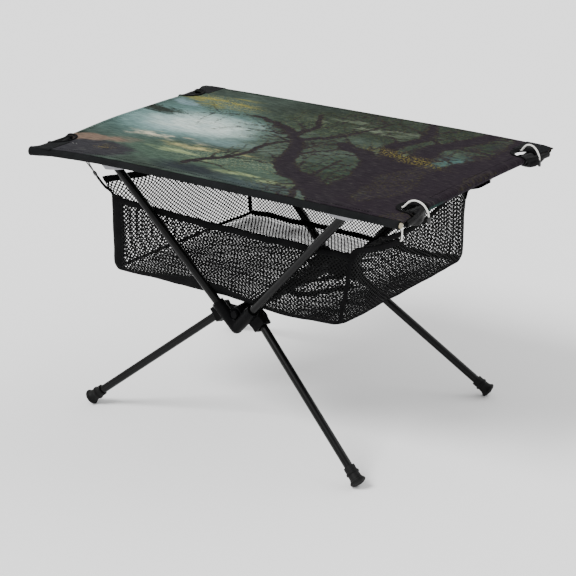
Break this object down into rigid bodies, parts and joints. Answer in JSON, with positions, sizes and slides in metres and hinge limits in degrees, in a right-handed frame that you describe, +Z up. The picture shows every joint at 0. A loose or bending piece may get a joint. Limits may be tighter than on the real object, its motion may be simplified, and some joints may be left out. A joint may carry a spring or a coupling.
{
  "type": "folding side table",
  "caption": "Low folding camp table: fabric top on rods, slanting arms and hinged legs on two hubs, with a mesh bag hung beneath.",
  "frame": {"origin": "on the ground, under the middle of the top", "axes": "+X to the right along the long side, +Y to the back, +Z up"},
  "size_m": [0.5732, 0.378, 0.3728],
  "materials": {
    "moulded_plastic": "moulded, satin",
    "rubber_boot": "moulded, matt",
    "pocket_fabric": "woven polyester underside",
    "white_elastic": "braided sheath",
    "thin_elastic": "braided sheath",
    "cord_tip_plastic": "heat shrunk",
    "steel_pin": "blackened",
    "bare_aluminium": "drawn",
    "rod_plug_plastic": "moulded",
    "printed_fabric": "dye-printed woven polyester",
    "black_fabric": "woven polyester",
    "bag_net": "knitted net",
    "black_webbing": "woven tape",
    "black_tube": "black anodised aluminium"
  },
  "bodies": {
    "frame": {"hub_front": "moulded_plastic", "hub_back": "moulded_plastic", "crossbar": "black_tube", "crossbar_plugs": "moulded_plastic", "arm_front_left": "black_tube", "arm_front_right": "black_tube", "arm_back_left": "black_tube", "arm_back_right": "black_tube", "arm_tip_caps": "moulded_plastic", "arm_shock_cords": "white_elastic", "leg_hinge_pins": "steel_pin"},
    "leg_front_left_body": {"leg_front_left": "black_tube", "knuckle_front_left": "moulded_plastic", "foot_front_left": "rubber_boot"},
    "leg_front_right_body": {"leg_front_right": "black_tube", "knuckle_front_right": "moulded_plastic", "foot_front_right": "rubber_boot"},
    "leg_back_left_body": {"leg_back_left": "black_tube", "knuckle_back_left": "moulded_plastic", "foot_back_left": "rubber_boot"},
    "leg_back_right_body": {"leg_back_right": "black_tube", "knuckle_back_right": "moulded_plastic", "foot_back_right": "rubber_boot"},
    "top": {"top_panel": "printed_fabric", "sleeve_front": "black_fabric", "sleeve_back": "black_fabric", "hem_left": "black_fabric", "hem_right": "black_fabric", "bite_bindings": "black_webbing", "rod_front": "black_tube", "rod_back": "black_tube", "rod_ferrules": "bare_aluminium", "rod_end_plugs": "rod_plug_plastic", "spreader_left": "black_tube", "spreader_right": "black_tube", "fork_front_left": "moulded_plastic", "fork_front_right": "moulded_plastic", "fork_back_left": "moulded_plastic", "fork_back_right": "moulded_plastic", "arm_pockets": "pocket_fabric", "elastic_tail_front": "white_elastic", "elastic_tail_back": "white_elastic", "tail_crimp_front": "cord_tip_plastic", "tail_crimp_back": "cord_tip_plastic", "bag_front": "bag_net", "bag_back": "bag_net", "bag_left": "bag_net", "bag_right": "bag_net", "bag_floor": "bag_net", "bag_long_rims": "black_webbing", "bag_side_rims": "black_webbing", "bag_corner_seams": "black_webbing", "bag_floor_seams": "black_webbing", "bag_corner_straps": "black_webbing", "bag_hanging_loops": "thin_elastic", "bag_strap_loop": "black_webbing"}
  },
  "joints": [
    {"name": "leg_front_left_fold", "type": "hinge", "parent": "frame", "child": "leg_front_left_body", "pos_m": [-0.02732, -0.10891, 0.16194], "axis": [0.6478, -0.1615, -0.7445], "range_deg": [0, 98.6]},
    {"name": "leg_front_right_fold", "type": "hinge", "parent": "frame", "child": "leg_front_right_body", "pos_m": [0.02732, -0.10891, 0.16194], "axis": [0.6423, 0.0987, 0.7601], "range_deg": [0, 94.2]},
    {"name": "leg_back_left_fold", "type": "hinge", "parent": "frame", "child": "leg_back_left_body", "pos_m": [-0.02732, 0.10891, 0.16194], "axis": [-0.6423, -0.0987, 0.7601], "range_deg": [0, 94.2]},
    {"name": "leg_back_right_fold", "type": "hinge", "parent": "frame", "child": "leg_back_right_body", "pos_m": [0.02732, 0.10891, 0.16194], "axis": [-0.6478, 0.1615, -0.7445], "range_deg": [0, 98.6]},
    {"name": "top_lift", "type": "slide", "parent": "frame", "child": "top", "axis": [0, 0, 1], "range_m": [0, 0.25]}
  ]
}
